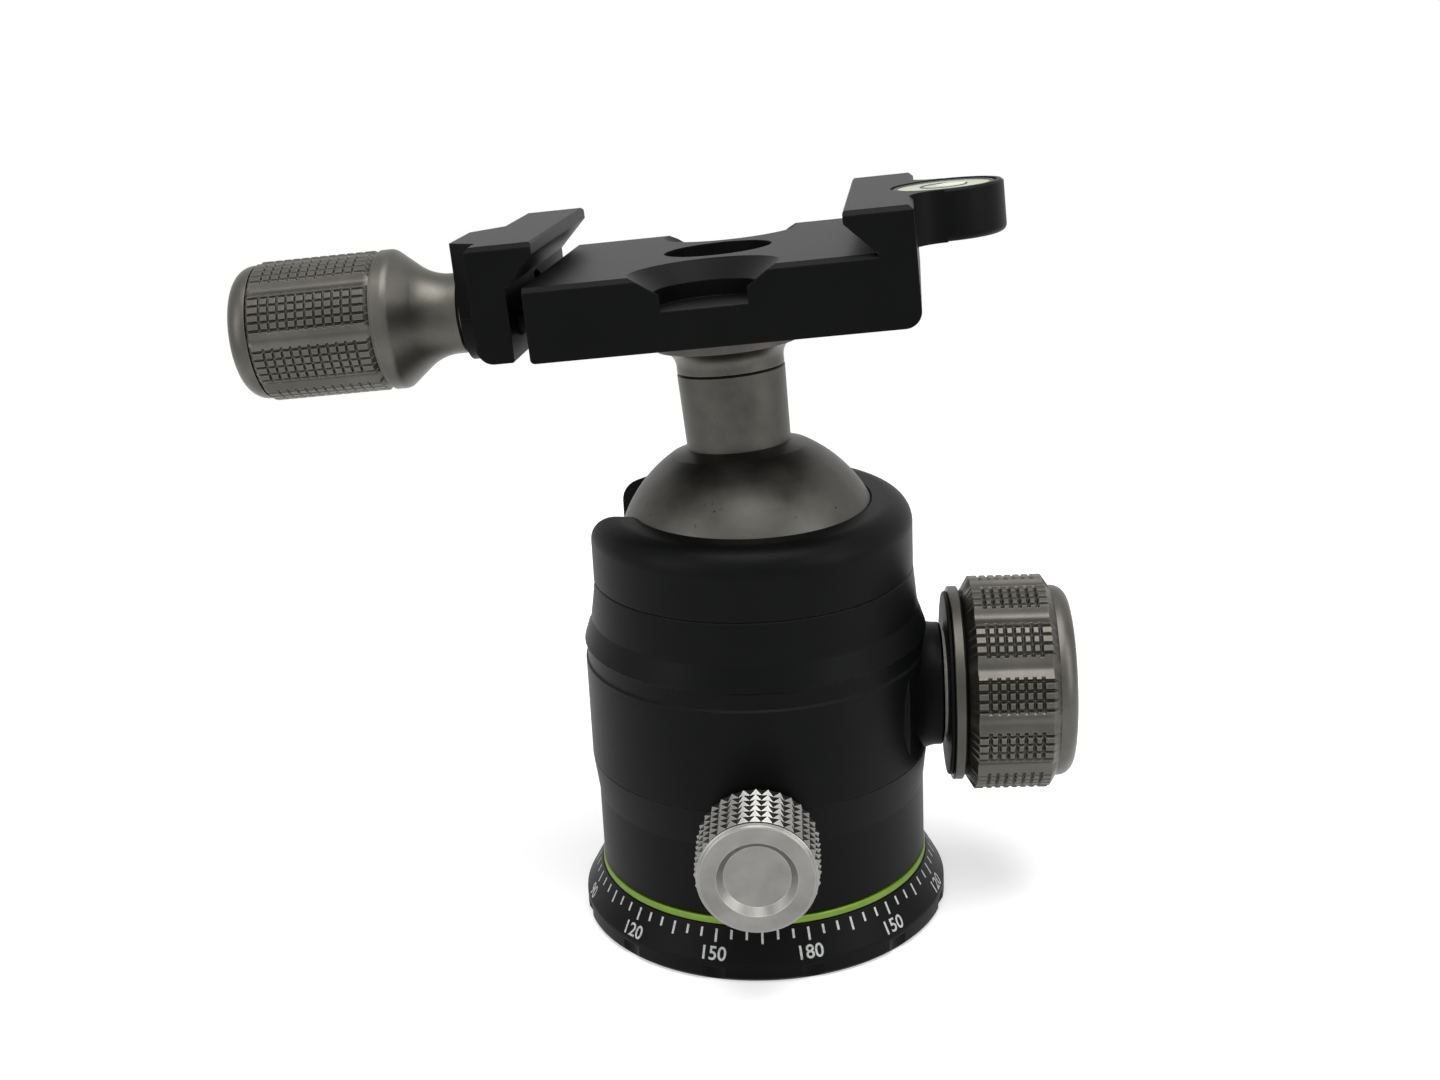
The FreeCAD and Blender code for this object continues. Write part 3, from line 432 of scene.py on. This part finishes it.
def banded_grip(name, matrix, body, radius, core, start, length, bands, rows, columns, row_pitch,
                valley_depth, knurl_depth, groove_width, bevels):
    """Grip whose outer face alternates between bands of square pads and smooth hollow valleys.

    bevels gives the length and the drop of the sloping edge at the start and at the end."""
    (start_run, start_drop), (end_run, end_drop) = bevels
    band_pitch = TAU / bands
    half_band = rows * row_pitch / 2
    angle_groove = groove_width / radius
    valley_half = band_pitch / 2 - half_band - angle_groove / 2
    end = start + length
    column_start = start + start_run + GRIP_LAND
    column_pitch = (length - start_run - end_run - 2 * GRIP_LAND) / columns

    angles = []
    for i in range(bands):
        centre = (i + 0.5) * band_pitch
        angles += [centre + offset for offset in stations(-half_band, row_pitch, rows, angle_groove)]
        middle = (i + 1) * band_pitch
        angles += [middle - valley_half + 2 * valley_half * k / VALLEY_STEPS
                   for k in range(1, VALLEY_STEPS)]
    angles = sorted(a % TAU for a in angles)

    def carved(angle, height, given):
        offset = (angle % band_pitch) - band_pitch / 2
        # Past the outer edge of the band's last groove, with a hair to spare, lies the valley
        if abs(offset) > half_band + angle_groove * 0.51:
            share = (abs(offset) - half_band - angle_groove / 2) / valley_half
            hollow = math.sin(math.pi / 2 * min(1.0, share)) ** VALLEY_POWER
            return min(given, radius - valley_depth * hollow)
        across = groove(offset + half_band, row_pitch, angle_groove)
        # The first and the last row of pads run out to the bevels without a groove
        inner = column_pitch * 0.9 < height - column_start < column_pitch * (columns - 0.9)
        along = groove(height - column_start, column_pitch, groove_width) if inner else 0.0
        return min(given, radius - knurl_depth * max(across, along))

    profile = [(core, start, False), (radius - start_drop, start, True),
               (radius, start + start_run, True)]
    for height in stations(column_start, column_pitch, columns, groove_width):
        if start + start_run + STATION_GAP < height < end - end_run - STATION_GAP:
            profile.append((radius, height, True))
    profile += [(radius, end - end_run, True), (radius - end_drop, end, True),
                (core, end, False)]
    points, faces = lathe(profile, angles, carved)
    return add_piece(name, points, faces, matrix, grey, sharp=24.0, body=body)


main_grip = banded_grip(
    "main_grip_knurled", TO_MAIN_KNOB, "main_knob",
    radius=12.65, core=4.2, start=24.4, length=10.4,
    bands=12, rows=3, columns=8, row_pitch=math.radians(5.1),
    valley_depth=0.62, knurl_depth=0.42, groove_width=0.50,
    bevels=((1.0, 1.65), (0.9, 1.35)))
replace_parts(main_grip, "main_knob_grip")

# Stations of the clamp knob, each as a length from the one before
JAW_BOSS_REACH = 29.2
CLAMP_WASHER = 0.3
FACE_GAP = 0.05
KNOB_NECK = 3.4
KNOB_FLARE = 4.2
FLANGE_RING = 1.4
RING_GROOVE = 0.5
CLAMP_GRIP_START = (JAW_BOSS_REACH + CLAMP_WASHER + FACE_GAP
                    + KNOB_NECK + KNOB_FLARE + FLANGE_RING + RING_GROOVE)
clamp_grip = banded_grip(
    "clamp_grip_knurled", TO_CLAMP_KNOB, "clamp_knob",
    radius=8.0, core=4.0, start=CLAMP_GRIP_START, length=14.3,
    bands=8, rows=4, columns=12, row_pitch=math.radians(6.9),
    valley_depth=0.42, knurl_depth=0.30, groove_width=0.38,
    bevels=((0.5, 0.5), (0.5, 0.5)))
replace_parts(clamp_grip, "clamp_knob_grip")


# Panning knob: pyramids all round its rim, a plain lip, a face with a sunk middle

PAN_BORE = 2.5
# Lip and sunk face beyond the pyramids: radius, and distance inwards from the knob's end
PAN_FACE = (
    (6.62, 0.85), (6.66, 0.45), (6.50, 0.32), (6.50, 0.22), (6.36, 0.06), (6.28, 0.0),
    (4.45, 0.0), (3.70, 0.75), (0.0, 0.75), (0.0, 1.4), (PAN_BORE, 1.4),
)


def panning_knob():
    radius, start, length = 6.95, 20.4, 8.9
    foot_drop = 0.8
    end = start + length
    teeth, rows, depth = 32, 6, 0.42
    knurl_start, knurl_end = start + 0.35, end - 0.95
    angles = full_turn(2 * teeth)
    row_pitch = (knurl_end - knurl_start) / rows

    def carved(angle, height, given):
        turn = abs((angle / TAU * teeth + 0.5) % 1.0 - 0.5) * 2
        along = abs(((height - knurl_start) / row_pitch) % 1.0 - 0.5) * 2
        return min(given, radius - depth * max(turn, along))

    profile = [(PAN_BORE, start, False), (radius - foot_drop, start, False),
               (radius - depth, knurl_start, False)]
    for k in range(1, 2 * rows):
        profile.append((radius, knurl_start + row_pitch * k / 2, True))
    profile.append((radius - depth, knurl_end, False))
    profile += [(face_radius, end - inwards, False) for face_radius, inwards in PAN_FACE]
    points, faces = lathe(profile, angles, carved)
    return add_piece("panning_knob_knurled", points, faces, TO_PAN_KNOB, silver, sharp=12.0,
                     body="pan_knob")


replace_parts(panning_knob(), "pan_lock_knob")


# Degree scale on the sloping flange

SLOPE_TOP = Vector((19.9, 6.0))
SLOPE_FOOT = Vector((21.6, 3.0))
DOWN = (SLOPE_FOOT - SLOPE_TOP).normalized()
OUT = Vector((-DOWN.y, DOWN.x))
# Azimuth of the 180 mark, in degrees from the front
SCALE_CENTRE = 15.0
INK_LIFT = 0.02

# Ticks and numbers, as distances down the slope from its top edge
TICK_START = 0.40
SHORT_TICK_END = 1.45
LONG_TICK_END = 1.90
TICK_HALF_WIDTH = 0.135
TICK_ROWS = 4
NUMBER_START = 2.36
NUMBER_HEIGHT = 1.60
DIGIT_WIDTH = 0.93


def across_slope(distance, down):
    """Degrees of azimuth that a distance spans, that way down the slope."""
    return math.degrees(distance / (SLOPE_TOP + DOWN * down).x)


def on_slope(azimuth, down):
    """Inked point on the slope: azimuth in degrees from the front to the right, and a way down."""
    place = SLOPE_TOP + DOWN * down + OUT * INK_LIFT
    angle = math.radians(azimuth)
    return Vector((place.x * math.sin(angle), -place.x * math.cos(angle), place.y))


def scale_ticks():
    points = []
    faces = []
    for step in range(0, 360, 5):
        end = LONG_TICK_END if step % 15 == 0 else SHORT_TICK_END
        first = len(points)
        for row in range(TICK_ROWS + 1):
            down = TICK_START + (end - TICK_START) * row / TICK_ROWS
            for side in (-1, 1):
                turn = side * across_slope(TICK_HALF_WIDTH, down)
                points.append(on_slope(SCALE_CENTRE + step + turn, down))
        for row in range(TICK_ROWS):
            a = first + 2 * row
            faces.append((a, a + 2, a + 3, a + 1))
    add_piece("scale_ticks", points, faces, Matrix.Identity(4), ink, sharp=30.0, body="base",
              merge=False)


def scale_numbers():
    """Numbers every 30 degrees, 180 near the front and 0 behind, each bent to the slope."""
    for turn in range(0, 360, 30):
        value = 180 - turn if turn <= 180 else turn - 180
        curve = bpy.data.curves.new("number", "FONT")
        curve.body = str(value)
        curve.size = 1.0
        curve.resolution_u = 6
        curve.offset = 0.012
        holder = new_object("number", curve)
        bpy.context.view_layer.update()
        shown = holder.evaluated_get(bpy.context.evaluated_depsgraph_get())
        mesh = bpy.data.meshes.new_from_object(shown)
        bpy.data.objects.remove(holder)
        tool = bmesh.new()
        tool.from_mesh(mesh)
        bmesh.ops.triangulate(tool, faces=tool.faces)
        low = [min(v.co[k] for v in tool.verts) for k in (0, 1)]
        high = [max(v.co[k] for v in tool.verts) for k in (0, 1)]
        width = DIGIT_WIDTH * len(curve.body)
        for v in tool.verts:
            across = ((v.co.x - low[0]) / (high[0] - low[0]) - 0.5) * width
            down = NUMBER_START + NUMBER_HEIGHT * (1 - (v.co.y - low[1]) / (high[1] - low[1]))
            v.co = on_slope(SCALE_CENTRE + turn + across_slope(across, down), down) * MM
        tool.to_mesh(mesh)
        tool.free()
        mesh.materials.clear()
        mesh.materials.append(ink)
        piece = new_object("scale_number_%d_at_%d" % (value, turn), mesh)
        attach(piece, "base")


scale_ticks()
scale_numbers()


# Bubble level: face, ring and rim on the lens, and the bubble over them

LENS_TOP = JAW_RISE - 0.25
RING_SEGMENTS = 96
RING_BEVEL = 0.06
BUBBLE_RADIUS = 1.75
BUBBLE_RISE = 0.12
BUBBLE_STEPS = 8
BUBBLE_SEGMENTS = 64
# How far the bubble sits from the middle of the level
BUBBLE_SHIFT = (0.9, 0.7)

vial_mark = vial_paint("vial_mark", (0.012, 0.012, 0.012), 0.5)
bubble_paint = vial_paint("vial_bubble", (0.52, 0.56, 0.42), 0.18)
vial_face = vial_paint("vial_face", (0.30, 0.34, 0.21), 0.22)

# Outer and inner radius, then foot and top above the lens
LEVEL_RINGS = (
    ("level_face", 5.25, 0.0, 0.0, 0.06, vial_face),
    ("level_ring", 2.65, 2.30, 0.05, 0.10, vial_mark),
    ("level_rim", 5.55, 5.10, 0.0, 0.14, vial_mark),
)


def level_piece(name, profile, segments, material, shift=(0.0, 0.0)):
    """Sweeps (radius, height) stations round the level's middle, and rides on the clamp."""
    points, faces = lathe([(*station, False) for station in profile], full_turn(segments))
    place = LEAN @ Matrix.Translation((TAB_REACH + shift[0], shift[1], 0))
    add_piece(name, points, faces, place, material, sharp=35.0, body="clamp")


def level_ring(name, outer, inner, foot, top, material):
    soft = min(RING_BEVEL, (top - foot) / 3)
    level_piece(name, [(inner, foot), (outer, foot), (outer, top - soft), (outer - soft, top),
                       (inner + soft, top), (inner, top - soft)], RING_SEGMENTS, material)


def bubble():
    profile = [(0.0, LENS_TOP + 0.03)]
    for k in range(BUBBLE_STEPS + 1):
        slope = math.pi / 2 * k / BUBBLE_STEPS
        profile.append((BUBBLE_RADIUS * math.cos(slope),
                        LENS_TOP + 0.05 + BUBBLE_RISE * math.sin(slope)))
    level_piece("level_bubble", profile, BUBBLE_SEGMENTS, bubble_paint, BUBBLE_SHIFT)


for name, outer, inner, foot, top, paint in LEVEL_RINGS:
    level_ring(name, outer, inner, LENS_TOP + foot, LENS_TOP + top, paint)
bubble()


# Floor, backdrop light and lamps

# Distances from the middle at which the floor starts to fade and is gone, in metres
FADE_START = 0.13
FADE_END = 0.26
FLOOR_SIDE = 3.0
# Glow of the floor towards the camera, and light of the world on the object and to the camera
FLOOR_GLOW = 0.42
WORLD_LIGHT = 0.42
WORLD_SHOWN = 1.0
# Place and size in metres, power in watts
LAMPS = (
    ("overhead", (0.05, -0.10, 0.62), (0.55, 0.40), 3.6),
    ("left_panel", (-0.55, -0.35, 0.30), (0.30, 0.50), 1.3),
    ("right_panel", (0.55, -0.30, 0.32), (0.30, 0.50), 1.6),
)
LAMP_TARGET = (0.0, 0.0, 0.05)
# Camera's place in millimetres, its turns in radians and its lens in millimetres
CAMERA_PLACE = (6.77, -215.52, 120.44)
CAMERA_PAN = 0.04842
CAMERA_TILT = -0.33274
CAMERA_ROLL = 0.04742
CAMERA_LENS = 48.845


def showing_rays(tree):
    """1 for the rays that show the backdrop: from the camera, through the lens, off a gloss."""
    path = tree.nodes.new("ShaderNodeLightPath")
    found = path.outputs["Is Camera Ray"]
    for kind in ("Is Transmission Ray", "Is Glossy Ray"):
        either = tree.nodes.new("ShaderNodeMath")
        either.operation = "MAXIMUM"
        tree.links.new(found, either.inputs[0])
        tree.links.new(path.outputs[kind], either.inputs[1])
        found = either.outputs[0]
    return found


def floor():
    """White floor that keeps the shadow near the object and fades into the white backdrop."""
    n = Nodes("floor_white")
    lifted = n.add("ShaderNodeMath", operation="MULTIPLY")
    lifted.inputs[1].default_value = FLOOR_GLOW
    n.link(showing_rays(n.tree), lifted.inputs[0])
    n.settle(Base_Color=FLOOR_WHITE, Roughness=0.9, Specular_IOR_Level=0.1,
             Emission_Color=PURE_WHITE, Emission_Strength=lifted.outputs[0])
    distance = n.add("ShaderNodeVectorMath", operation="LENGTH")
    n.link(n.place, distance.inputs[0])
    blend = n.add("ShaderNodeMixShader")
    n.link(n.ramp(distance.outputs["Value"], FADE_START, FADE_END), blend.inputs[0])
    n.link(n.shader.outputs[0], blend.inputs[1])
    n.link(n.add("ShaderNodeBsdfTransparent").outputs[0], blend.inputs[2])
    n.link(blend.outputs[0], n.tree.nodes["Material Output"].inputs["Surface"])
    mesh = bpy.data.meshes.new("floor")
    corners = [(x * FLOOR_SIDE, y * FLOOR_SIDE, 0) for x, y in ((-1, -1), (1, -1), (1, 1), (-1, 1))]
    mesh.from_pydata(corners, [], [(0, 1, 2, 3)])
    mesh.materials.append(n.material)
    plane = new_object("floor", mesh)


def world():
    """White backdrop that shows at full strength and lights the object more softly."""
    backdrop = bpy.data.worlds.new("backdrop")
    backdrop.use_nodes = True
    tree = backdrop.node_tree
    background = tree.nodes["Background"]
    strength = tree.nodes.new("ShaderNodeMapRange")
    strength.inputs["To Min"].default_value = WORLD_LIGHT
    strength.inputs["To Max"].default_value = WORLD_SHOWN
    tree.links.new(showing_rays(tree), strength.inputs["Value"])
    tree.links.new(strength.outputs["Result"], background.inputs["Strength"])
    background.inputs["Color"].default_value = PURE_WHITE
    bpy.context.scene.world = backdrop


def lamp(name, place, size, power):
    light = bpy.data.lights.new(name, "AREA")
    light.shape = "RECTANGLE"
    light.size, light.size_y = size
    light.energy = power
    holder = new_object(name, light)
    holder.location = Vector(place)
    aim = Vector(LAMP_TARGET) - Vector(place)
    holder.rotation_euler = aim.to_track_quat("-Z", "Y").to_euler()


def camera():
    """Camera fitted to the rings, knobs and deck of the photograph."""
    data = bpy.data.cameras.new("camera")
    data.sensor_fit = "HORIZONTAL"
    data.sensor_width = 36.0
    data.lens = CAMERA_LENS
    data.clip_start = 0.01
    holder = new_object("camera", data)
    turn = (Matrix.Rotation(CAMERA_PAN, 4, "Z") @ Matrix.Rotation(CAMERA_TILT, 4, "X")
            @ Matrix.Rotation(CAMERA_ROLL, 4, "Y") @ Matrix.Rotation(math.radians(90), 4, "X"))
    holder.matrix_world = Matrix.Translation(Vector(CAMERA_PLACE) * MM) @ turn
    bpy.context.scene.camera = holder


floor()
world()
for name, place, size, power in LAMPS:
    lamp(name, place, size, power)
camera()
bpy.context.scene.view_settings.view_transform = "Standard"
